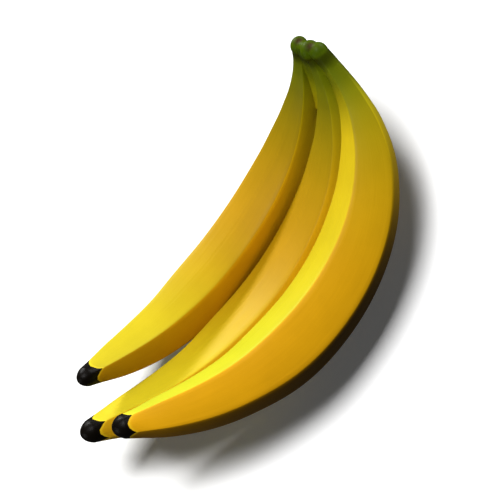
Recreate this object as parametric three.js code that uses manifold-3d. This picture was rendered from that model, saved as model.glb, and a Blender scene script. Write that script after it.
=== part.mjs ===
// A hand of three bananas, cut from the bunch. Each fruit is a curved, five-sided finger that
// narrows to a round stem at one end and to a blunt blossom end at the other. The three stems
// grow together in one short crown. The hand lies on the backs of its left and middle fruits.
//
// Millimetres. Z is up. X runs from the crown towards the blossom ends, and the fruits fan out
// towards +Y. The origin is at the middle of the hand's footprint, on the surface it lies on.

import * as THREE from 'three';
import { mergeVertices } from 'three/addons/utils/BufferGeometryUtils.js';
import Module from 'manifold-3d';

const wasm = await Module();
wasm.setup();

// Each fruit: its length along the middle of the finger, how thick it is beside the common
// girth, how far it turns from stem to blossom end in degrees, how it is turned about the crown
// in degrees, and where its stem meets the cut end of the crown.
const FRUITS = [
  { name: 'banana_left', length: 217.8, girth: 0.855, turn: 119, roll: -80, pitch: 15.55, yaw: 1.2,
    root: [-0.35, -6.9, -5.15] },
  { name: 'banana_middle', length: 240, girth: 1.01, turn: 116, roll: -53.5, pitch: 18, yaw: 7.7,
    root: [0.1, 0.4, -0.1] },
  { name: 'banana_right', length: 234, girth: 1.025, turn: 122, roll: -34.5, pitch: 10.5, yaw: 15.5,
    root: [-0.7, 4.6, 2.4] },
];

// Half the thickness of a fruit over its ridges, at shares of the way from stem to blossom end.
const GIRTH = [
  [0, 3.7],
  [0.045, 4.4],
  [0.1, 6.2],
  [0.17, 9.8],
  [0.27, 14.1],
  [0.4, 17],
  [0.58, 17.9],
  [0.75, 14.6],
  [0.88, 10.5],
  [0.955, 6.7],
];

// The finger bends evenly, more sharply at the shoulder below the stem, and hardly at all
// where it narrows towards the blossom end.
const EVEN_BEND = 1.34;
const SHOULDER_AT = 0.183;
const SHOULDER_REACH = 0.188;
const STRAIGHT_END = 1.5;
const STRAIGHT_FROM = 0.78;

// The five ridges of the section: angle from the hollow side in degrees, and reach beside the
// girth. The faces between them stand a little proud of flat.
const RIDGES = [[-44, 1], [44, 1], [117.5, 1], [180, 1.04], [242.5, 1]];
const FACE_CROWN = 0.077;
const STEPS_PER_FACE = 5;

// The ridges rise out of the round stem between the first two shares, and fade into the round
// blossom end between the last two.
const RIDGES_RISE = [-0.06, 0.12];
const RIDGES_FADE = [0.93, 1];
const ROUND_REACH = 0.94;

const CROWN_END = 0.06;         // share of a fruit's length that belongs to the crown
const CUT_END = 2.8;            // how far the rounded cut end stands out past the roots
const KNUCKLE = [4.4, 3.4, 3.8];  // half sizes of the knuckle on a cut end: along, across and up
const KNUCKLE_LIFT = 0.4;       // how far the knuckle sits above the middle of its stem
const WEB = 2.6;                // half thickness of the tissue that joins neighbouring roots
const JOIN_GAP = 0.3;           // clearance between the crown and each fruit
const SINK = 0.5;               // how deep the skin gives where the hand lies on it
const SLAB = [400, 300, 40];    // the surface under the hand, only to cut the flattened places

const SPINE_STEPS = 400;
const BODY_RINGS = 46;
const END_RINGS = 7;

const radians = THREE.MathUtils.degToRad;
const smoothstep = THREE.MathUtils.smoothstep;

// A smooth curve through the stations that never overshoots them.
function alongStations(stations, share) {
  const slope = (i) => (stations[i + 1][1] - stations[i][1]) / (stations[i + 1][0] - stations[i][0]);
  const tangent = (i) => {
    if (i === 0) return slope(0);
    if (i === stations.length - 1) return slope(i - 1);
    const before = slope(i - 1);
    const after = slope(i);
    return before * after <= 0 ? 0 : (2 * before * after) / (before + after);
  };
  let i = 0;
  while (i < stations.length - 2 && share > stations[i + 1][0]) i += 1;
  const span = stations[i + 1][0] - stations[i][0];
  const u = (share - stations[i][0]) / span;
  const rise = stations[i + 1][1] - stations[i][1];
  const bend = tangent(i) * span * u * (1 - u) ** 2 - tangent(i + 1) * span * u ** 2 * (1 - u);
  return stations[i][1] + rise * u * u * (3 - 2 * u) + bend;
}

function girthAt(share) {
  const [lastShare, lastGirth] = GIRTH[GIRTH.length - 1];
  if (share <= 0) return GIRTH[0][1];
  if (share <= lastShare) return alongStations(GIRTH, share);
  const past = (share - lastShare) / (1 - lastShare);
  return lastGirth * Math.sqrt(Math.max(0, 1 - past * past));
}

// The middle line of a fruit, in its own plane: it starts at the root, and bulges towards +Y.
function spineOf(fruit) {
  const bendAt = (share) => EVEN_BEND + Math.exp(-(((share - SHOULDER_AT) / SHOULDER_REACH) ** 2))
    - STRAIGHT_END * smoothstep(share, STRAIGHT_FROM, 1);
  const turned = [0];
  for (let i = 1; i <= SPINE_STEPS; i += 1) {
    turned.push(turned[i - 1] + bendAt((i - 0.5) / SPINE_STEPS));
  }
  const angle = turned.map((t) => radians(fruit.turn) * (0.5 - t / turned[SPINE_STEPS]));
  const points = [new THREE.Vector3()];
  const step = fruit.length / SPINE_STEPS;
  for (let i = 1; i <= SPINE_STEPS; i += 1) {
    const heading = (angle[i - 1] + angle[i]) / 2;
    const move = new THREE.Vector3(Math.cos(heading), Math.sin(heading), 0);
    points.push(points[i - 1].clone().addScaledVector(move, step));
  }
  return (share) => {
    const at = THREE.MathUtils.clamp(share, 0, 1) * SPINE_STEPS;
    const i = Math.min(Math.floor(at), SPINE_STEPS - 1);
    const heading = THREE.MathUtils.lerp(angle[i], angle[i + 1], at - i);
    const along = new THREE.Vector3(Math.cos(heading), Math.sin(heading), 0);
    const point = points[i].clone().lerp(points[i + 1], at - i);
    if (share < 0) point.addScaledVector(along, share * fruit.length);
    return { point, inward: new THREE.Vector3(along.y, -along.x, 0) };
  };
}

// The section's outline for a half thickness of 1, as pairs of inward and sideways reach.
function sectionAt(share) {
  const ridged = smoothstep(share, ...RIDGES_RISE) * (1 - smoothstep(share, ...RIDGES_FADE));
  const corner = ([angle, reach]) => new THREE.Vector2(reach, 0).rotateAround(
    new THREE.Vector2(), radians(angle));
  const outline = [];
  RIDGES.forEach((ridge, k) => {
    const from = corner(ridge);
    const to = corner(RIDGES[(k + 1) % RIDGES.length]);
    for (let s = 0; s < STEPS_PER_FACE; s += 1) {
      const u = s / STEPS_PER_FACE;
      const flat = from.clone().lerp(to, u);
      const faced = flat.clone().multiplyScalar(1 + 4 * u * (1 - u) * FACE_CROWN);
      const round = flat.clone().setLength(ROUND_REACH);
      outline.push(round.lerp(faced, ridged));
    }
  });
  return outline;
}

// A closed skin over rings of points, with both ends drawn together to a point.
function skin(rings, firstPole, lastPole) {
  const around = rings[0].length;
  const points = [firstPole, ...rings.flat(), lastPole];
  const last = points.length - 1;
  const faces = [];
  for (let j = 0; j < around; j += 1) {
    const next = (j + 1) % around;
    faces.push(0, 1 + j, 1 + next);
    for (let i = 0; i < rings.length - 1; i += 1) {
      const a = 1 + i * around;
      const b = a + around;
      faces.push(a + j, b + j, a + next);
      faces.push(a + next, b + j, b + next);
    }
    const end = 1 + (rings.length - 1) * around;
    faces.push(end + j, last, end + next);
  }
  const geometry = new THREE.BufferGeometry();
  geometry.setAttribute('position', new THREE.Float32BufferAttribute(
    points.flatMap((p) => p.toArray()), 3));
  geometry.setIndex(faces);
  return geometry;
}

function ringAt(fruit, spine, share, halfThickness) {
  const { point, inward } = spine(share);
  return sectionAt(share).map((reach) => point.clone()
    .addScaledVector(inward, reach.x * halfThickness)
    .add(new THREE.Vector3(0, 0, reach.y * halfThickness)));
}

// The fruit from the end of the crown to its blossom end, in its own plane.
function fruitGeometry(fruit) {
  const spine = spineOf(fruit);
  const start = CROWN_END + JOIN_GAP / fruit.length;
  const shoulder = GIRTH[GIRTH.length - 1][0];
  const shares = [];
  for (let i = 0; i <= BODY_RINGS; i += 1) {
    shares.push(THREE.MathUtils.lerp(start, shoulder, i / BODY_RINGS));
  }
  for (let i = 1; i < END_RINGS; i += 1) {
    shares.push(shoulder + (1 - shoulder) * Math.sin((i / END_RINGS) * (Math.PI / 2)));
  }
  const rings = shares.map((share) => ringAt(fruit, spine, share, girthAt(share) * fruit.girth));
  return skin(rings, spine(start).point, spine(1).point);
}

// One stem inside the crown: from its rounded cut end to where the fruit takes over.
function stemGeometry(fruit) {
  const spine = spineOf(fruit);
  const cutShare = CUT_END / fruit.length;
  const rings = [];
  for (let i = END_RINGS - 1; i >= 1; i -= 1) {
    const out = (i / END_RINGS) * (Math.PI / 2);
    rings.push(ringAt(fruit, spine, -cutShare * Math.sin(out), girthAt(0) * Math.cos(out)));
  }
  for (let i = 0; i <= END_RINGS; i += 1) {
    const share = (CROWN_END * i) / END_RINGS;
    const girth = THREE.MathUtils.lerp(1, fruit.girth, i / END_RINGS);
    rings.push(ringAt(fruit, spine, share, girthAt(share) * girth));
  }
  return skin(rings, spine(-cutShare).point, spine(CROWN_END).point);
}

// The swollen knuckle around a cut end, in the hand's own place.
function knuckleGeometry(fruit) {
  const heading = radians(fruit.turn / 2);
  const stem = new THREE.Vector3(Math.cos(heading), Math.sin(heading), 0);
  stem.transformDirection(placementOf(fruit));
  const knuckle = new THREE.SphereGeometry(1, 20, 12);
  knuckle.scale(...KNUCKLE);
  knuckle.applyQuaternion(new THREE.Quaternion().setFromUnitVectors(new THREE.Vector3(1, 0, 0), stem));
  return knuckle.translate(fruit.root[0], fruit.root[1], fruit.root[2] + KNUCKLE_LIFT);
}

// The tissue between two neighbouring roots, in the hand's own place.
function webGeometry(fruit, neighbour) {
  const from = new THREE.Vector3(...fruit.root);
  const to = new THREE.Vector3(...neighbour.root);
  const across = to.clone().sub(from);
  const web = new THREE.CapsuleGeometry(WEB, across.length(), 6, 16);
  const turn = new THREE.Quaternion().setFromUnitVectors(
    new THREE.Vector3(0, 1, 0), across.clone().normalize());
  return web.applyQuaternion(turn).translate(...from.lerp(to, 0.5).toArray());
}

function placementOf(fruit) {
  const turn = new THREE.Euler(radians(fruit.roll), radians(fruit.pitch), radians(fruit.yaw), 'ZYX');
  return new THREE.Matrix4().makeRotationFromEuler(turn).setPosition(...fruit.root);
}

function solidOf(geometry) {
  const bare = geometry.clone();
  bare.deleteAttribute('normal');
  bare.deleteAttribute('uv');
  const merged = mergeVertices(bare, 1e-5);
  return new wasm.Manifold(new wasm.Mesh({
    numProp: 3,
    vertProperties: merged.attributes.position.array,
    triVerts: new Uint32Array(merged.index.array),
  }));
}

function geometryOf(solid) {
  const mesh = solid.getMesh();
  const geometry = new THREE.BufferGeometry();
  geometry.setAttribute('position', new THREE.BufferAttribute(mesh.vertProperties, 3));
  geometry.setIndex(new THREE.BufferAttribute(mesh.triVerts, 1));
  geometry.computeVertexNormals();
  return geometry;
}

function meshOf(name, solid, colour, roughness) {
  const material = new THREE.MeshStandardMaterial({ color: colour, roughness, metalness: 0 });
  const mesh = new THREE.Mesh(geometryOf(solid), material);
  mesh.name = name;
  return mesh;
}

const crown = [
  ...FRUITS.map((fruit) => stemGeometry(fruit).applyMatrix4(placementOf(fruit))),
  ...FRUITS.map((fruit) => knuckleGeometry(fruit)),
  ...FRUITS.slice(1).map((fruit, i) => webGeometry(FRUITS[i], fruit)),
].map(solidOf).reduce((joined, piece) => joined.add(piece));

const fruits = FRUITS.map((fruit) => ({
  name: fruit.name,
  placement: placementOf(fruit),
  whole: solidOf(fruitGeometry(fruit)),
}));

// The hand's own box, before the peel gives where it lies on the surface.
const reach = new THREE.Box3().setFromBufferAttribute(geometryOf(crown).attributes.position);
for (const { whole, placement } of fruits) {
  const placed = geometryOf(whole).applyMatrix4(placement);
  reach.union(new THREE.Box3().setFromBufferAttribute(placed.attributes.position));
}
const middle = reach.getCenter(new THREE.Vector3());
const surface = reach.min.z + SINK;

const hand = new THREE.Group();
hand.position.set(-middle.x, -middle.y, -surface);
hand.add(meshOf('crown', crown, '#6f7d12', 0.55));
for (const { name, placement, whole } of fruits) {
  const slab = new THREE.BoxGeometry(...SLAB).translate(middle.x, middle.y, surface - SLAB[2] / 2);
  const lying = whole.subtract(solidOf(slab.applyMatrix4(placement.clone().invert())));
  const mesh = meshOf(name, lying, '#e9b310', 0.42);
  placement.decompose(mesh.position, mesh.quaternion, mesh.scale);
  hand.add(mesh);
}

export default hand;
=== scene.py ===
import math

import bmesh
import bpy
from mathutils import Euler, Matrix, Vector


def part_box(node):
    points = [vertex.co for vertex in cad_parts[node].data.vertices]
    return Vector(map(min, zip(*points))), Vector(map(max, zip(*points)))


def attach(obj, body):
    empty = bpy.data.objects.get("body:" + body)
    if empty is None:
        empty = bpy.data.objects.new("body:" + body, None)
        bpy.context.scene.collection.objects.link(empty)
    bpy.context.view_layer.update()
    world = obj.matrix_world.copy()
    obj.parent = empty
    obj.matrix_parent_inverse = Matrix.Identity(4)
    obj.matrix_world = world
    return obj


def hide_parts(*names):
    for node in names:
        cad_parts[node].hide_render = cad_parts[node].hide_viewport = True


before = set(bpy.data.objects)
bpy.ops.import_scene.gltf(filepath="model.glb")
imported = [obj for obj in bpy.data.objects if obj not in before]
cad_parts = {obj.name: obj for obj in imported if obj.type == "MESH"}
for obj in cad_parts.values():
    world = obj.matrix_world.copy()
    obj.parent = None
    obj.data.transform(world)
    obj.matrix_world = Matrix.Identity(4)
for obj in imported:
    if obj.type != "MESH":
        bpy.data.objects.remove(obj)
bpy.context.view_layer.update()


# ---------------------------------------------------------------------------------------------
# The three fruits. Each banana is one curved finger of peel and pulp that grew in one piece:
# five flat faces that meet in soft ridges, a round stem that leaves the crown, and a blunt
# black blossom end. The three share one way of growing and differ in length, girth and turn.

MM = 0.001

# Each fruit's length and root in millimetres and its angles in degrees. Its girth is a multiple of
# the common one below, its turn is the whole bend of the finger, and the rest is how it lies.
FRUITS = {
    "banana_left": {
        "length": 217.8, "girth": 0.855, "turn": 119,
        "roll": -80, "pitch": 15.55, "yaw": 1.2, "root": (-0.35, -6.9, -5.15),
    },
    "banana_middle": {
        "length": 240, "girth": 1.01, "turn": 116,
        "roll": -53.5, "pitch": 18, "yaw": 7.7, "root": (0.1, 0.4, -0.1),
    },
    "banana_right": {
        "length": 234, "girth": 1.025, "turn": 122,
        "roll": -34.5, "pitch": 10.5, "yaw": 15.5, "root": (-0.7, 4.6, 2.4),
    },
}

# Half the thickness over the ridges, in millimetres, at shares of the way along the finger.
GIRTH = [
    (0, 3.7), (0.045, 4.4), (0.1, 6.2), (0.17, 9.8), (0.27, 14.1), (0.4, 17),
    (0.58, 17.9), (0.75, 14.6), (0.88, 10.5), (0.955, 6.7),
]
GIRTH_SCALE = 20        # what these are divided by, since a curve node holds 0 to 1

# Five ridges, by their angle from the hollow side in degrees and their reach.
RIDGES = [(-44, 1), (44, 1), (117.5, 1), (180, 1.04), (242.5, 1)]
FACE_CROWN = 0.077      # how far a face stands proud of flat
RIDGE_SOFTNESS = 3      # degrees to each side of a ridge over which it is rounded
RIDGE_WORN = 0.991      # how far a ridge still reaches once it is rounded
REACH_SCALE = 1.2       # what the section's reach is divided by, for the same reason

CROWN_END = 0.06        # share of a finger that belongs to the crown
TUCK = 0.03             # share by which a fruit starts inside the crown
RIDGES_RISE = (-0.06, 0.12)     # where along a finger its round stem turns five-sided
RIDGES_FADE = (0.93, 1.0)       # where its blossom end turns round again
ROUND_REACH = 0.94      # reach of the round section, where a ridge has 1
END_TAPER = 0.7         # what the girth curve keeps of its last value under the end's dome
SEAM = 0.002 * MM       # gap across which the rolled-up peel closes


class Field:
    """A value in a node tree. Sums and products of fields become math nodes."""

    def __init__(self, tree, socket):
        self.tree = tree
        self.socket = socket

    def join(self, operation, *others):
        node = self.tree.nodes.new("ShaderNodeMath")
        node.operation = operation
        for end, value in zip(node.inputs, (self, *others)):
            feed(end, value)
        return Field(self.tree, node.outputs[0])

    def __add__(self, other):
        return self.join("ADD", other)

    def __sub__(self, other):
        return self.join("SUBTRACT", other)

    def __mul__(self, other):
        return self.join("MULTIPLY", other)

    def __truediv__(self, other):
        return self.join("DIVIDE", other)

    def __pow__(self, other):
        return self.join("POWER", other)

    def __rsub__(self, other):
        return (self * -1) + other

    __radd__ = __add__
    __rmul__ = __mul__


def feed(end, value):
    """Plug a field into an input, or set the input's own value."""
    if isinstance(value, Field):
        value.tree.links.new(value.socket, end)
    else:
        end.default_value = value


def grow(tree, kind, inputs=None, **settings):
    """Add one node, with its settings and what feeds its inputs."""
    node = tree.nodes.new(kind)
    for name, value in settings.items():
        setattr(node, name, value)
    for name, value in (inputs or {}).items():
        feed(node.inputs[name], value)
    return node


def out(node, name=0):
    """One output of a node, as a field."""
    return Field(node.id_data, node.outputs[name])


def ease(field, start, end):
    """0 before the start, 1 after the end, and smooth between them."""
    node = grow(field.tree, "ShaderNodeMapRange", {
        "Value": field, "From Min": start, "From Max": end}, interpolation_type="SMOOTHSTEP")
    return out(node)


def through(field, points, corners=()):
    """A smooth curve through points from 0 to 1. The points named as corners stay sharp."""
    node = grow(field.tree, "ShaderNodeFloatCurve", {"Value": field})
    curve = node.mapping.curves[0]
    for x, y in points[1:-1]:
        curve.points.new(x, y)
    for point, (x, y) in zip((curve.points[0], curve.points[-1]), (points[0], points[-1])):
        point.location = (x, y)
    for point in curve.points:
        sharp = any(abs(point.location[0] - x) < 1e-4 for x in corners)
        point.handle_type = "VECTOR" if sharp else "AUTO_CLAMPED"
    node.mapping.update()
    return out(node)


def face_at(angle):
    """The face that an angle looks at: its two ridges and the share of the way across it."""
    for k, start in enumerate(RIDGES):
        end = RIDGES[(k + 1) % len(RIDGES)]
        span = (end[0] - start[0]) % 360
        if (angle - start[0]) % 360 < span:
            sides = []
            for ridge in (start, end):
                lean = math.radians(ridge[0] - angle)
                sides.append((ridge[1] * math.cos(lean), ridge[1] * math.sin(lean)))
            (x0, y0), (x1, y1) = sides
            across = y0 / (y0 - y1)
            return across, x0 + (x1 - x0) * across
    raise ValueError(angle)


def section_points():
    """The section's reach at shares of a turn, from the hollow side and round."""
    angles = {0.0, 360.0}
    for k, (angle, _) in enumerate(RIDGES):
        span = (RIDGES[(k + 1) % len(RIDGES)][0] - angle) % 360
        angles.update((angle + span * part) % 360 for part in (0.2, 0.35, 0.5, 0.65, 0.8))
        angles.update(((angle - RIDGE_SOFTNESS) % 360, (angle + RIDGE_SOFTNESS) % 360))
    points = []
    for angle in sorted(angles):
        across, flat = face_at(angle % 360)
        points.append((angle / 360, flat * (1 + 4 * across * (1 - across) * FACE_CROWN)))
    points += [((angle % 360) / 360, reach * RIDGE_WORN) for angle, reach in RIDGES]
    return [(x, y / REACH_SCALE) for x, y in sorted(points)]


# What the growth of a finger asks for. It bends evenly, more at its shoulder near the crown and
# less in its last stretch, and From and To say which share of the whole finger is made.
FINGER_SIZES = {
    "From": 0.0, "To": 1.0, "Length": 0.24, "Turn": 120.0, "Girth": 1.0,
    "Even Bend": 1.34, "Shoulder At": 0.183, "Shoulder Reach": 0.188,
    "Straight End": 1.5, "Straight From": 0.78, "Collar": 0.0,
}
SPINE_STEPS = 400       # straight steps in the middle line
RINGS = 220             # rings of peel along a finger
AROUND = 220            # faces round each ring
CROWDING = 1.6          # how much closer the rings stand towards the blossom end


def finger_tree():
    """The way a finger grows: a bent middle line, and five-sided rings along it."""
    tree = bpy.data.node_groups.new("banana finger", "GeometryNodeTree")
    tree.interface.new_socket("Finger", in_out="OUTPUT", socket_type="NodeSocketGeometry")
    for name, size in FINGER_SIZES.items():
        socket = tree.interface.new_socket(name, in_out="INPUT", socket_type="NodeSocketFloat")
        socket.default_value = size
    tree.interface.new_socket("Peel", in_out="INPUT", socket_type="NodeSocketMaterial")
    given = grow(tree, "NodeGroupInput")
    size = {name: out(given, name) for name in FINGER_SIZES}

    # The middle line: its heading turns with the bend, and its steps add up. Point k stands at
    # the end of step k, and half a step back is where that step's bend is read.
    line = grow(tree, "GeometryNodeCurvePrimitiveLine", {"End": (1, 0, 0)})
    line = grow(tree, "GeometryNodeResampleCurve", {"Curve": out(line), "Count": SPINE_STEPS + 1})
    index = out(grow(tree, "GeometryNodeInputIndex"))
    share = (index - 0.5) / SPINE_STEPS
    shoulder = (share - size["Shoulder At"]) / size["Shoulder Reach"]
    bend = size["Even Bend"] + (shoulder * shoulder * -1).join("EXPONENT")
    bend = bend - size["Straight End"] * ease(share, size["Straight From"], 1.0)
    bend = bend * index.join("GREATER_THAN", 0.5)
    turned = grow(tree, "GeometryNodeAccumulateField", {"Value": bend})
    half = size["Turn"] * math.radians(0.5)
    heading = half - out(turned, "Leading") / out(turned, "Total") * half * 2
    step = size["Length"] / SPINE_STEPS
    along = {}
    for axis, operation in (("X", "COSINE"), ("Y", "SINE")):
        piece = heading.join(operation) * step
        sums = grow(tree, "GeometryNodeAccumulateField", {"Value": piece})
        first = half.join(operation) * step
        along[axis] = (out(sums, "Leading") + out(sums, "Trailing") - first) * 0.5
    place = grow(tree, "ShaderNodeCombineXYZ", along)
    spine = out(grow(tree, "GeometryNodeSetPosition", {
        "Geometry": out(line), "Position": out(place)}))

    # The peel: a grid whose rows become rings round the middle line.
    grid = grow(tree, "GeometryNodeMeshGrid", {
        "Size X": 1.0, "Size Y": 1.0, "Vertices X": RINGS, "Vertices Y": AROUND + 1})
    flat = grow(tree, "ShaderNodeSeparateXYZ", {0: out(grow(tree, "GeometryNodeInputPosition"))})
    row = out(flat, "X") + 0.5
    round_share = out(flat, "Y") + 0.5
    span = size["To"] - size["From"]
    share = size["To"] - span * (1 - row).join("MAXIMUM", 0) ** CROWDING
    sheet = grow(tree, "GeometryNodeStoreNamedAttribute", {
        "Geometry": out(grid), "Name": "share", "Value": share},
        data_type="FLOAT", domain="POINT")
    unwrapped = grow(tree, "ShaderNodeCombineXYZ", {"X": share, "Y": round_share})
    sheet = grow(tree, "GeometryNodeStoreNamedAttribute", {
        "Geometry": out(sheet), "Name": "UVMap", "Value": out(unwrapped)},
        data_type="FLOAT2", domain="CORNER")

    def spine_at(kind):
        node = grow(tree, "GeometryNodeSampleCurve", {"Curves": spine, "Factor": share},
                    mode="FACTOR", data_type="FLOAT_VECTOR", use_all_curves=True)
        return out(node, kind)

    girth = through(share.join("MAXIMUM", 0), [(x, y / GIRTH_SCALE) for x, y in GIRTH]
                    + [(1, GIRTH[-1][1] * END_TAPER / GIRTH_SCALE)])
    past = ((share - GIRTH[-1][0]) / (1 - GIRTH[-1][0])).join("MAXIMUM", 0)
    dome = (1 - past * past).join("MAXIMUM", 0).join("SQRT") * (GIRTH[-1][1] / GIRTH_SCALE)
    girth = girth.join("MINIMUM", dome + share.join("LESS_THAN", GIRTH[-1][0]))
    collar = size["Collar"] * (1 - ease(share, 0.0, CROWN_END)) + 1
    thick = girth * size["Girth"] * collar * (GIRTH_SCALE * MM)
    # The first and the last ring shrink to a point, which closes the ends.
    thick = thick * row.join("GREATER_THAN", 0.5 / RINGS) * row.join("LESS_THAN", 1 - 0.5 / RINGS)
    ridged = ease(share, *RIDGES_RISE) * (1 - ease(share, *RIDGES_FADE))
    reach = through(round_share, section_points()) * REACH_SCALE
    reach = reach * ridged + (1 - ridged) * ROUND_REACH

    inward = grow(tree, "ShaderNodeVectorMath", {
        0: spine_at("Tangent"), 1: (0, 0, 1)}, operation="CROSS_PRODUCT")
    angle = round_share * math.tau
    inward = grow(tree, "ShaderNodeVectorMath", {
        0: out(inward), "Scale": angle.join("COSINE") * reach * thick}, operation="SCALE")
    sideways = grow(tree, "ShaderNodeCombineXYZ", {"Z": angle.join("SINE") * reach * thick})
    point = spine_at("Position")
    for shift in (inward, sideways):
        point = out(grow(tree, "ShaderNodeVectorMath", {0: point, 1: out(shift)}, operation="ADD"))
    sheet = grow(tree, "GeometryNodeSetPosition", {"Geometry": out(sheet), "Position": point})
    closed = grow(tree, "GeometryNodeMergeByDistance", {
        "Geometry": out(sheet), "Distance": SEAM})
    smooth = grow(tree, "GeometryNodeSetShadeSmooth", {"Geometry": out(closed)})
    made = grow(tree, "GeometryNodeRealizeInstances", {"Geometry": out(smooth)})
    peeled = grow(tree, "GeometryNodeSetMaterial", {
        "Geometry": out(made), "Material": out(given, "Peel")})
    grow(tree, "NodeGroupOutput", {0: out(peeled)})
    return tree


def grown(name, tree, sizes, material=None):
    """The plain mesh that a tree grows with these sizes."""
    seed_mesh = bpy.data.meshes.new("seed")
    seed = bpy.data.objects.new("seed", seed_mesh)
    bpy.context.scene.collection.objects.link(seed)
    modifier = seed.modifiers.new("growth", "NODES")
    modifier.node_group = tree
    for item in tree.interface.items_tree:
        if item.in_out == "INPUT" and item.name in sizes:
            modifier[item.identifier] = sizes[item.name]
        if item.in_out == "INPUT" and item.socket_type == "NodeSocketMaterial":
            modifier[item.identifier] = material
    bpy.context.view_layer.update()
    finished = seed.evaluated_get(bpy.context.evaluated_depsgraph_get())
    mesh = bpy.data.meshes.new_from_object(finished, preserve_all_data_layers=True,
                                           depsgraph=bpy.context.evaluated_depsgraph_get())
    bpy.data.objects.remove(seed)
    bpy.data.meshes.remove(seed_mesh)
    mesh.name = name
    return mesh


def placement(fruit):
    """Where a finger's own plane lies in the hand."""
    turn = Euler([math.radians(fruit[k]) for k in ("roll", "pitch", "yaw")], "XYZ")
    return Matrix.Translation(Vector(fruit["root"]) * MM) @ turn.to_matrix().to_4x4()


def outward(mesh):
    """Turn a closed mesh's faces outwards."""
    shape = bmesh.new()
    shape.from_mesh(mesh)
    bmesh.ops.recalc_face_normals(shape, faces=shape.faces)
    if shape.calc_volume(signed=True) < 0:
        bmesh.ops.reverse_faces(shape, faces=shape.faces)
    shape.to_mesh(mesh)
    shape.free()


def box_of(mesh):
    """The low and the high corner of a mesh's box."""
    places = [v.co for v in mesh.vertices]
    low = Vector(min(p[i] for p in places) for i in range(3))
    high = Vector(max(p[i] for p in places) for i in range(3))
    return low, high


def named_material(name):
    """A new material, its node tree and its shader."""
    material = bpy.data.materials.new(name)
    material.use_nodes = True
    return material, material.node_tree, material.node_tree.nodes["Principled BSDF"]


def blend(tree, share, first, second):
    """The first colour at share 0 and the second at share 1."""
    node = grow(tree, "ShaderNodeMix", {"Factor": share, 6: first, 7: second},
                data_type="RGBA", clamp_factor=True)
    return out(node, 2)


def linear(red, green, blue):
    """A colour as a paint chart gives it, 0 to 255, as the light that it returns."""
    def channel(value):
        value /= 255
        return value / 12.92 if value <= 0.04045 else ((value + 0.055) / 1.055) ** 2.4
    return (channel(red), channel(green), channel(blue), 1)


# Peel colours along the finger, from the stem to the blossom end: the peel's own orange-tinged
# tone, and a clear yellow that is painted highlight, for the faces that the light falls on full.
ORANGE_PEEL = [
    (0.0, (66, 84, 4)), (0.07, (100, 106, 6)), (0.1, (128, 126, 9)), (0.18, (160, 138, 10)),
    (0.3, (192, 150, 12)), (0.45, (207, 153, 12)), (0.7, (218, 158, 13)), (1.0, (221, 161, 14)),
]
HIGHLIGHT_YELLOW_PEEL = [
    (0.0, (72, 92, 4)), (0.07, (110, 114, 7)), (0.1, (150, 140, 10)), (0.18, (196, 170, 20)),
    (0.3, (206, 180, 24)), (0.45, (204, 184, 24)), (0.7, (201, 198, 33)), (1.0, (202, 205, 44)),
]

# The five faces of each fruit, from the hollow side and round: how far each has the clear yellow
# near the stem and near the blossom end, and how bright its tone is at the same two places. These
# are painted light and shade: faces that the light falls on are yellower and brighter, and faces
# turned from it darker.
FACE_LIGHT_AND_SHADE = {
    "banana_left": [
        (0.0, 0.65, 0.61, 0.72), (0.0, 0.0, 1.1, 0.58), (0.0, 0.0, 0.9, 0.5),
        (0.0, 0.4, 0.9, 1.0), (0.7, 1.0, 1.0, 1.0),
    ],
    "banana_middle": [
        (0.0, 0.65, 0.58, 0.82), (0.0, 0.1, 0.9, 0.72), (0.0, 0.2, 0.9, 0.9),
        (0.0, 0.4, 0.9, 1.0), (0.7, 1.0, 1.0, 1.0),
    ],
    "banana_right": [
        (1.0, 1.0, 0.84, 0.77), (0.0, 0.0, 0.92, 0.92), (0.3, 0.0, 1.55, 0.36),
        (0.0, 0.4, 0.9, 0.9), (0.7, 1.0, 1.0, 1.0),
    ],
}

# The stretch of each finger over which the painted light and shade on its faces change over.
TONE_CHANGE = {
    "banana_left": (0.3, 0.85), "banana_middle": (0.3, 0.85), "banana_right": (0.08, 0.42),
}

TONES_START = (0.05, 0.12)      # where beside the crown the faces begin to differ at all
RIDGE_BLUR = 0.0025     # half the width, as a share of a turn, over which a ridge parts two tones
PATCH_DEPTH = 0.22      # how far the wide patches change the tone
FIBRE_DEPTH = 0.12      # how far the fibres do

# Where the dry end starts on the faces, and how much farther it runs up the ridges.
DRY_ENDS = {
    "banana_left": (0.968, 0.015), "banana_middle": (0.971, 0.015), "banana_right": (0.974, 0.012),
}
DRY_RAGGED = 0.003      # how far the dry end's edge wanders
DRY_EDGE = 0.0008       # half the width over which the peel turns black
PALE_BORDER = (-0.008, -0.001)  # where the pale border grows in before that edge
PALE_SHARE = 0.35       # how pale the border gets
DRY_SURE = 0.004        # how far past the edge every face is dry


def colour_along(tree, share, stops):
    """A colour that changes along the finger, through paint-chart stops."""
    node = grow(tree, "ShaderNodeValToRGB", {"Fac": share})
    ramp = node.color_ramp
    while len(ramp.elements) < len(stops):
        ramp.elements.new(0.5)
    for element, (place, colour) in zip(ramp.elements, stops):
        element.position = place
        element.color = linear(*colour)
    return out(node, "Color")


def face_steps(tree, round_share, levels):
    """A level for each face, that changes only at the ridges."""
    node = grow(tree, "ShaderNodeValToRGB", {"Fac": round_share})
    ramp = node.color_ramp
    stops = []
    for k, level in enumerate(levels):
        stops.append(((RIDGES[k][0] % 360) / 360, levels[k - 1], level))
    stops.sort()
    flat = [(0.0, levels[0])]
    for place, before, after in stops:
        flat += [(place - RIDGE_BLUR, before), (place + RIDGE_BLUR, after)]
    flat.append((1.0, levels[0]))
    while len(ramp.elements) < len(flat):
        ramp.elements.new(0.5)
    for element, (place, level) in zip(ramp.elements, flat):
        element.position = place
        element.color = (level, level, level, 1)
    return out(node, "Color")


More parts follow.
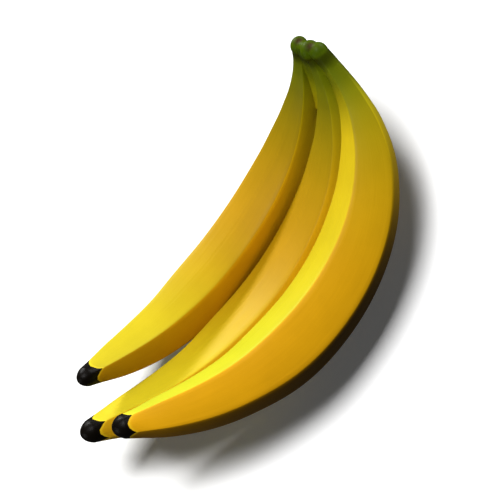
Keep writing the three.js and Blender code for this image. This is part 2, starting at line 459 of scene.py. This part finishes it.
def face_curve(tree, round_share, at_ridge, at_face):
    """A value that runs from one level on the ridges to another on the faces."""
    points = []
    corners = []
    for k, (angle, _) in enumerate(RIDGES):
        span = (RIDGES[(k + 1) % len(RIDGES)][0] - angle) % 360
        corners.append((angle % 360) / 360)
        points.append((corners[-1], at_ridge))
        beside = at_face + (at_ridge - at_face) * 0.25
        points += [(((angle + span * part) % 360) / 360, level) for part, level in (
            (0.25, beside), (0.5, at_face), (0.75, beside))]
    points = [p for p in points if 0 < p[0] < 1]
    points = [(0, at_face), *sorted(points), (1, at_face)]
    return through(round_share, points, corners)


def peel_material(name, tones, tone_change, dry):
    """Waxy peel ripening along the finger to a black dry end; light and shade painted per face."""
    material, tree, shader = named_material(name)
    chart = grow(tree, "ShaderNodeSeparateXYZ", {0: out(grow(tree, "ShaderNodeUVMap"), "UV")})
    share = out(chart, "X")
    round_share = out(chart, "Y")
    spot = out(grow(tree, "ShaderNodeTexCoord"), "Object")

    # painted light and shade: each face is made yellower and brighter, or darker, by how light
    # falls
    levels = [face_steps(tree, round_share, column) for column in zip(*tones)]
    light_shift_along = ease(share, *tone_change)
    yellow = levels[0] + (levels[1] - levels[0]) * light_shift_along
    bright = levels[2] + (levels[3] - levels[2]) * light_shift_along
    bright = (bright - 1) * ease(share, *TONES_START) + 1
    colour = blend(tree, yellow, colour_along(tree, share, ORANGE_PEEL),
                   colour_along(tree, share, HIGHLIGHT_YELLOW_PEEL))

    # Uneven ripening: wide soft patches, and fine fibres that run along the finger.
    patches = out(grow(tree, "ShaderNodeTexNoise", {
        "Vector": spot, "Scale": 45.0, "Detail": 3.0, "Roughness": 0.55}))
    lanes = grow(tree, "ShaderNodeCombineXYZ", {"X": share * 9, "Y": round_share * 90})
    fibres = out(grow(tree, "ShaderNodeTexNoise", {
        "Vector": out(lanes), "Scale": 1.0, "Detail": 4.0, "Roughness": 0.6}))
    tone = ((patches - 0.5) * PATCH_DEPTH + (fibres - 0.5) * FIBRE_DEPTH + 1) * bright
    colour = out(grow(tree, "ShaderNodeMix", {"Factor": 1.0, 6: colour, 7: tone},
                      data_type="RGBA", blend_type="MULTIPLY"), 2)

    # The dry black blossom end: it runs up the ridges in points, with a thin pale border.
    ridge_edge = face_curve(tree, round_share, 1.0, 0.0)
    ragged = out(grow(tree, "ShaderNodeTexNoise", {"Vector": spot, "Scale": 420.0, "Detail": 3.0}))
    on_faces, up_ridges = dry
    edge = share - on_faces + ridge_edge * up_ridges + (ragged - 0.5) * DRY_RAGGED
    pale = ease(edge, *PALE_BORDER) * PALE_SHARE
    colour = blend(tree, pale, colour, linear(246, 214, 40))
    black = ease(edge, -DRY_EDGE, DRY_EDGE)
    colour = blend(tree, black, colour, linear(10, 7, 4))
    feed(shader.inputs["Base Color"], colour)
    feed(shader.inputs["Roughness"], (fibres - 0.5) * 0.15 + 0.46 - black * 0.06)
    feed(shader.inputs["Specular IOR Level"], 0.06)

    relief = fibres * 0.4 + patches * 0.6
    bump = grow(tree, "ShaderNodeBump", {"Height": relief, "Strength": 0.25, "Distance": 0.0006})
    feed(shader.inputs["Normal"], out(bump))
    return material


def dry_end_material():
    """The dead flower's stub: near-black, finely wrinkled and a little shiny."""
    material, tree, shader = named_material("dry blossom end")
    spot = out(grow(tree, "ShaderNodeTexCoord"), "Object")
    chart = grow(tree, "ShaderNodeSeparateXYZ", {0: out(grow(tree, "ShaderNodeUVMap"), "UV")})
    lanes = grow(tree, "ShaderNodeCombineXYZ", {
        "X": out(chart, "X") * 60, "Y": out(chart, "Y") * 24})
    wrinkles = out(grow(tree, "ShaderNodeTexNoise", {
        "Vector": out(lanes), "Scale": 1.0, "Detail": 4.0}))
    grain = out(grow(tree, "ShaderNodeTexNoise", {"Vector": spot, "Scale": 600.0, "Detail": 2.0}))
    colour = blend(tree, grain, linear(7, 5, 3), linear(16, 11, 7))
    feed(shader.inputs["Base Color"], colour)
    feed(shader.inputs["Roughness"], (wrinkles - 0.5) * 0.1 + 0.56)
    feed(shader.inputs["Specular IOR Level"], 1.0)
    feed(shader.inputs["Specular Tint"], (1.0, 0.8, 0.6, 1))
    bump = grow(tree, "ShaderNodeBump", {
        "Height": wrinkles + grain * 0.2, "Strength": 0.05, "Distance": 0.0004})
    feed(shader.inputs["Normal"], out(bump))
    return material


finger = finger_tree()
dry_end = dry_end_material()
fruit_meshes = {}
for name, fruit in FRUITS.items():
    sizes = {
        "From": CROWN_END - TUCK, "To": 1.0, "Length": fruit["length"] * MM,
        "Turn": float(fruit["turn"]), "Girth": fruit["girth"],
    }
    peel = peel_material(
        "peel_" + name, FACE_LIGHT_AND_SHADE[name], TONE_CHANGE[name], DRY_ENDS[name])
    mesh = grown(name + "_fruit", finger, sizes, peel)
    mesh.materials.append(dry_end)
    shares = mesh.attributes["share"].data
    for polygon in mesh.polygons:
        if min(shares[k].value for k in polygon.vertices) > DRY_ENDS[name][0] + DRY_SURE:
            polygon.material_index = 1
    mesh.transform(placement(fruit))
    outward(mesh)
    fruit_meshes[name] = mesh

# The hand is laid where the frame has it: level by the right fruit's underside, and across by
# the middle fruit's far corner, because neither is flattened or hidden in the crown.
across = Vector(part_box("banana_middle")[1]) - box_of(fruit_meshes["banana_middle"])[1]
level = Vector(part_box("banana_right")[0]) - box_of(fruit_meshes["banana_right"])[0]
laid = Vector((across.x, across.y, level.z))

fruit_pieces = []
for name, mesh in fruit_meshes.items():
    mesh.transform(Matrix.Translation(laid))
    for vertex in mesh.vertices:        # the backs lie flat on the table
        vertex.co.z = max(vertex.co.z, 0)
    piece = bpy.data.objects.new(mesh.name, mesh)
    bpy.context.scene.collection.objects.link(piece)
    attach(piece, "root")
    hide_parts(name)
    fruit_pieces.append(piece)


# ---------------------------------------------------------------------------------------------
# The crown. It is the stub of green stalk that holds the hand together: the stems of the three
# fruits grew out of it side by side, joined by webs of the same tissue, and each ends above in
# a knuckle. The left and the middle knuckle have a dry brown scar.

# Each knuckle's place beside the start of its stem (along the stem, towards the hollow side, and
# sideways) and its half sizes in the same three directions, in millimetres.
KNOBS = {
    "banana_left": {"at": (0, 0, 0), "sizes": (4.6, 4.2, 3.8)},
    "banana_middle": {"at": (0.5, 0.3, 0), "sizes": (5.0, 4.7, 3.8)},
    "banana_right": {"at": (0.8, 0.2, 0), "sizes": (4.6, 4.2, 3.7)},
}
KNOB_SHIFT = (-0.2, 0.3, -0.08)     # how far all knuckles sit to one side, in millimetres
KNOB_LEAN = 4           # degrees by which a knuckle leans off its stem's first heading
SCARRED = ("banana_left", "banana_middle")
SCAR_SIDE = (-0.15, 0.15, 0.98)     # the side of a knuckle where its scar is

STUB_PAST = 0.01        # share by which a stem end runs on past the crown's own share
STUB_GIRTH = 0.985      # its girth beside the fruit's, so that it stays under the peel
STUB_COLLAR = 0.09      # how much the stems swell towards the knuckles

# The webs of stalk between neighbouring stems are rows of eggs, in millimetres.
WEB_TO, WEB_STEPS = 0.13, 60    # the share of a finger that they reach, and the eggs in each
WEB_LONG = 3.5          # an egg's half size along the stems
WEB_THICK = (3.1, 1.4)  # half the thickness at the top and at the bottom
WEB_DROP = 7            # how far the webs end below the middles of the stems
SKIN_CELL = 0.3 * MM    # the cell of the skin that is drawn over stems, knuckles and webs
SKIN_EASING = 6         # rounds of smoothing on that skin


def egg(centre, axes, half_sizes):
    """An egg with the given half sizes along three axes."""
    shape = bmesh.new()
    bmesh.ops.create_uvsphere(shape, u_segments=32, v_segments=16, radius=1)
    mesh = bpy.data.meshes.new("egg")
    shape.to_mesh(mesh)
    shape.free()
    facing = Matrix([list(a) for a in axes]).transposed().to_4x4()
    mesh.transform(Matrix.Translation(centre) @ facing @ Matrix.Diagonal((*half_sizes, 1)))
    outward(mesh)
    return mesh


def stem_line(fruit):
    """The middle line of a finger in its own plane, step by step from the root."""
    bends = []
    size = FINGER_SIZES
    for k in range(SPINE_STEPS):
        share = (k + 0.5) / SPINE_STEPS
        shoulder = (share - size["Shoulder At"]) / size["Shoulder Reach"]
        late = max(0, (share - size["Straight From"]) / (1 - size["Straight From"]))
        bends.append(size["Even Bend"] + math.exp(-shoulder ** 2)
                     - size["Straight End"] * late * late * (3 - 2 * late))
    heading = math.radians(fruit["turn"] / 2)
    step = fruit["length"] * MM / SPINE_STEPS
    points = [Vector((0, 0, 0))]
    for bend in bends:
        heading -= bend / sum(bends) * math.radians(fruit["turn"])
        points.append(points[-1] + Vector((math.cos(heading), math.sin(heading), 0)) * step)
    return points


stems = {}
lines = {}
for name, fruit in FRUITS.items():
    place = Matrix.Translation(laid) @ placement(fruit)
    facing = place.to_3x3()
    lean = math.radians(fruit["turn"] / 2) - math.radians(KNOB_LEAN)
    along = facing @ Vector((math.cos(lean), math.sin(lean), 0))
    inward = facing @ Vector((math.sin(lean), -math.cos(lean), 0))
    side = facing @ Vector((0, 0, 1))
    stems[name] = (place.translation, along, inward, side, fruit["length"] * MM)
    lines[name] = [place @ point for point in stem_line(fruit)]

scar_spots = []
parts = bmesh.new()
for name, fruit in FRUITS.items():
    root, along, inward, side, length = stems[name]
    sizes = {
        "From": 0.0, "To": CROWN_END + STUB_PAST, "Length": length,
        "Turn": float(fruit["turn"]), "Girth": fruit["girth"] * STUB_GIRTH, "Collar": STUB_COLLAR,
    }
    stub = grown("stub", finger, sizes)
    stub.transform(Matrix.Translation(laid) @ placement(fruit))
    outward(stub)
    parts.from_mesh(stub)
    offset = sum((axis * (part * MM) for axis, part in zip(
        (along, inward, side), KNOBS[name]["at"])), Vector(KNOB_SHIFT) * MM)
    knob_sizes = [size * MM for size in KNOBS[name]["sizes"]]
    parts.from_mesh(egg(root + offset, (along, inward, side), knob_sizes))
    if name in SCARRED:
        scar_spots.append(root + offset + Vector(SCAR_SIDE) * knob_sizes[1])
neighbours = list(FRUITS)
for first, second in zip(neighbours, neighbours[1:]):
    for k in range(WEB_STEPS):
        down_share = k / (WEB_STEPS - 1)
        at = round(WEB_TO * down_share * SPINE_STEPS)
        a = lines[first][at]
        b = lines[second][at]
        between = (b - a).normalized()
        down = lines[second][at + 1] - b
        thin = between.cross(down).normalized()
        reach = (b - a).length / 2
        thick = WEB_THICK[0] + (WEB_THICK[1] - WEB_THICK[0]) * down_share
        centre = (a + b) / 2 - Vector((0, 0, WEB_DROP * down_share * MM))
        parts.from_mesh(egg(centre, (between, thin.cross(between), thin),
                            (reach, WEB_LONG * MM, thick * MM)))
joined = bpy.data.meshes.new("crown_parts")
parts.to_mesh(joined)
parts.free()
carrier = bpy.data.objects.new("crown_parts", joined)
bpy.context.scene.collection.objects.link(carrier)
skin = carrier.modifiers.new("skin", "REMESH")
skin.mode = "VOXEL"
skin.voxel_size = SKIN_CELL
smooth = carrier.modifiers.new("smooth", "SMOOTH")
smooth.factor = 0.5
smooth.iterations = SKIN_EASING
bpy.context.view_layer.update()
graph = bpy.context.evaluated_depsgraph_get()
crown_mesh = bpy.data.meshes.new_from_object(carrier.evaluated_get(graph), depsgraph=graph)
crown_mesh.name = "crown_stub"
bpy.data.objects.remove(carrier)
outward(crown_mesh)
for polygon in crown_mesh.polygons:
    polygon.use_smooth = True

chart = crown_mesh.uv_layers.new(name="UVMap")
scar = crown_mesh.attributes.new("scar", "FLOAT", "POINT")
for vertex in crown_mesh.vertices:
    scar.data[vertex.index].value = min((vertex.co - spot).length for spot in scar_spots)


def reading(stem, point):
    """Where a point is beside a stem: how far along, how far round, and how far off."""
    root, along, inward, side, length = stem
    away = point - root
    turn = math.atan2(away.dot(side), away.dot(inward)) / math.tau
    off = (away - along * away.dot(along)).length
    return away.dot(along) / length, turn, off


for polygon in crown_mesh.polygons:
    stem = min(stems.values(), key=lambda s: reading(s, polygon.center)[2])
    middle = reading(stem, polygon.center)[1]
    for loop in polygon.loop_indices:
        corner = crown_mesh.vertices[crown_mesh.loops[loop].vertex_index].co
        share, turn, _ = reading(stem, corner)
        chart.data[loop].uv = (share, turn - round(turn - middle))


def crown_material():
    """Green stalk, painted shade in the crease under the knuckles, and dry brown on the scars."""
    material, tree, shader = named_material("crown stalk")
    uv = grow(tree, "ShaderNodeSeparateXYZ", {0: out(grow(tree, "ShaderNodeUVMap"), "UV")})
    share = out(uv, "X")
    spot = out(grow(tree, "ShaderNodeTexCoord"), "Object")
    from_scar = out(grow(tree, "ShaderNodeAttribute", attribute_name="scar"), "Fac")
    patches = out(grow(tree, "ShaderNodeTexNoise", {
        "Vector": spot, "Scale": 220.0, "Detail": 4.0, "Roughness": 0.6}))
    colour = colour_along(tree, share, ORANGE_PEEL)
    # painted shade: a darker band just under the knuckles, where shade falls in the crease
    collar = ease(share, 0.004, 0.014) * (1 - ease(share, 0.02, 0.045))
    colour = blend(tree, collar * 0.75, colour, linear(34, 38, 0))
    knuckle = 1 - ease(share, -0.002, 0.012)
    colour = blend(tree, knuckle, colour, linear(58, 76, 0))
    colour = out(grow(tree, "ShaderNodeMix", {
        "Factor": 1.0, 6: colour, 7: (patches - 0.5) * 0.7 + 1},
        data_type="RGBA", blend_type="MULTIPLY"), 2)
    brown = 1 - ease(from_scar + (patches - 0.5) * MM, 0.4 * MM, 3.4 * MM)
    colour = blend(tree, brown * 0.9, colour, linear(44, 23, 4))
    feed(shader.inputs["Base Color"], colour)
    feed(shader.inputs["Roughness"], 0.45 + brown * 0.2)
    feed(shader.inputs["Specular IOR Level"], 0.06)
    bump = grow(tree, "ShaderNodeBump", {"Height": patches, "Strength": 0.35, "Distance": 0.0006})
    feed(shader.inputs["Normal"], out(bump))
    return material


crown_mesh.materials.append(crown_material())
crown_piece = bpy.data.objects.new("crown_stub", crown_mesh)
bpy.context.scene.collection.objects.link(crown_piece)
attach(crown_piece, "root")
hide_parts("crown")


# ---------------------------------------------------------------------------------------------
# The surface, the light and the camera. The hand lies on a sheet of pale matt paper, under one
# soft box. Three weaker boxes light the hand alone and one lights the paper alone, so that the
# hand throws a single soft shadow.

PAPER_HALF = 3          # metres from the middle of the sheet to its edge
PAPER_SEEN = (0.9, 0.9, 0.9, 1)         # the paper's grey to the camera
PAPER_BOUNCED = (0.06, 0.06, 0.06, 1)   # its grey to light on its way to the hand
PAPER_GLOW = (0.95, 0.98, 1.0, 1)
GLOW_NEAR = 0.06        # how strongly the paper glows beside the hand
GLOW_FAR = 0.9          # how much more it glows far from the hand
GLOW_GROWS = (0.35, 1.1)        # metres from the hand over which that comes in


def paper_material():
    """Pale matt paper that turns evenly light away from the hand, for the camera only."""
    material, tree, shader = named_material("pale paper")
    seen = out(grow(tree, "ShaderNodeLightPath"), "Is Camera Ray")
    feed(shader.inputs["Base Color"], blend(tree, seen, PAPER_BOUNCED, PAPER_SEEN))
    feed(shader.inputs["Roughness"], 0.9)
    feed(shader.inputs["Specular IOR Level"], 0.0)
    feed(shader.inputs["Emission Color"], PAPER_GLOW)
    spot = grow(tree, "ShaderNodeTexCoord")
    away = grow(tree, "ShaderNodeVectorMath", {0: out(spot, "Object")}, operation="LENGTH")
    glow = ease(out(away, "Value"), *GLOW_GROWS) * GLOW_FAR + GLOW_NEAR
    feed(shader.inputs["Emission Strength"], seen * glow)
    return material


floor_mesh = bpy.data.meshes.new("floor")
floor_mesh.from_pydata(
    [(-PAPER_HALF, -PAPER_HALF, 0), (PAPER_HALF, -PAPER_HALF, 0),
     (PAPER_HALF, PAPER_HALF, 0), (-PAPER_HALF, PAPER_HALF, 0)], [], [(0, 1, 2, 3)])
floor = bpy.data.objects.new("floor", floor_mesh)
bpy.context.scene.collection.objects.link(floor)
floor_mesh.materials.append(paper_material())

BACKDROP_SEEN = 0.95    # how bright the backdrop is to the camera, beyond its light
BACKDROP_LIGHT = 0.018  # the light that it gives
studio = bpy.data.worlds.new("studio")
studio.use_nodes = True
backdrop = studio.node_tree.nodes["Background"]
backdrop.inputs["Color"].default_value = (1, 1, 1, 1)
backdrop_seen = out(grow(studio.node_tree, "ShaderNodeLightPath"), "Is Camera Ray")
feed(backdrop.inputs["Strength"], backdrop_seen * BACKDROP_SEEN + BACKDROP_LIGHT)
bpy.context.scene.world = studio

LAMPS_LOOK_AT = Vector((0, 0, 0.03))    # metres
OVERHEAD = (0.0, -0.18, 0.984)          # where the soft box and the paper's lamp stand


def lamp(name, direction, distance, width, watts):
    """A square soft box that looks at the hand from a direction, with its sizes in metres."""
    light = bpy.data.lights.new(name, "AREA")
    light.size = width
    light.energy = watts
    holder = bpy.data.objects.new(name, light)
    bpy.context.scene.collection.objects.link(holder)
    back = Vector(direction).normalized()
    holder.location = back * distance + LAMPS_LOOK_AT
    holder.rotation_mode = "QUATERNION"
    holder.rotation_quaternion = back.to_track_quat("Z", "Y")
    holder.visible_camera = False
    return holder


overhead = lamp("overhead", OVERHEAD, 1.4, 0.45, 20.8)
overhead.data.specular_factor = 0.6
rim = lamp("rim", (-0.335, -0.911, 0.2), 1.2, 0.3, 15)
edge = lamp("edge", (-0.90, -0.05, 0.35), 1.2, 0.3, 9)
fill = lamp("fill", (0.92, -0.28, 0.25), 1.2, 0.5, 4)
paper_light = lamp("paper light", OVERHEAD, 1.4, 0.45, 12)
hand = bpy.data.collections.new("hand")
for piece in fruit_pieces + [crown_piece]:
    hand.objects.link(piece)
for flanking in (rim, edge, fill):
    flanking.data.specular_factor = 0
    flanking.light_linking.receiver_collection = hand
ground = bpy.data.collections.new("ground")
ground.objects.link(floor)
paper_light.light_linking.receiver_collection = ground

CAMERA_BACK = Vector((0.1291, 0.3175, 0.9394))      # from the hand to the camera
CAMERA_UP = Vector((-0.8374, -0.4725, 0.2748))
CAMERA_FAR = 0.88       # metres
LENS, SENSOR = 144, 36  # millimetres
CROWN_SITS = (25.7884, 88.2816, 2.7324)     # right of, above and before the view's middle, in mm
camera_data = bpy.data.cameras.new("camera")
camera_data.lens = LENS
camera_data.sensor_width = SENSOR
camera = bpy.data.objects.new("camera", camera_data)
bpy.context.scene.collection.objects.link(camera)
bpy.context.scene.camera = camera
back = CAMERA_BACK.normalized()
right = CAMERA_UP.cross(back).normalized()
up = back.cross(right)
aim = laid - sum((axis * far for axis, far in zip((right, up, back), CROWN_SITS)), Vector()) * MM
camera.matrix_world = Matrix.Translation(aim + back * CAMERA_FAR) @ Matrix(
    (right, up, back)).transposed().to_4x4()
bpy.context.scene.view_settings.view_transform = "Standard"
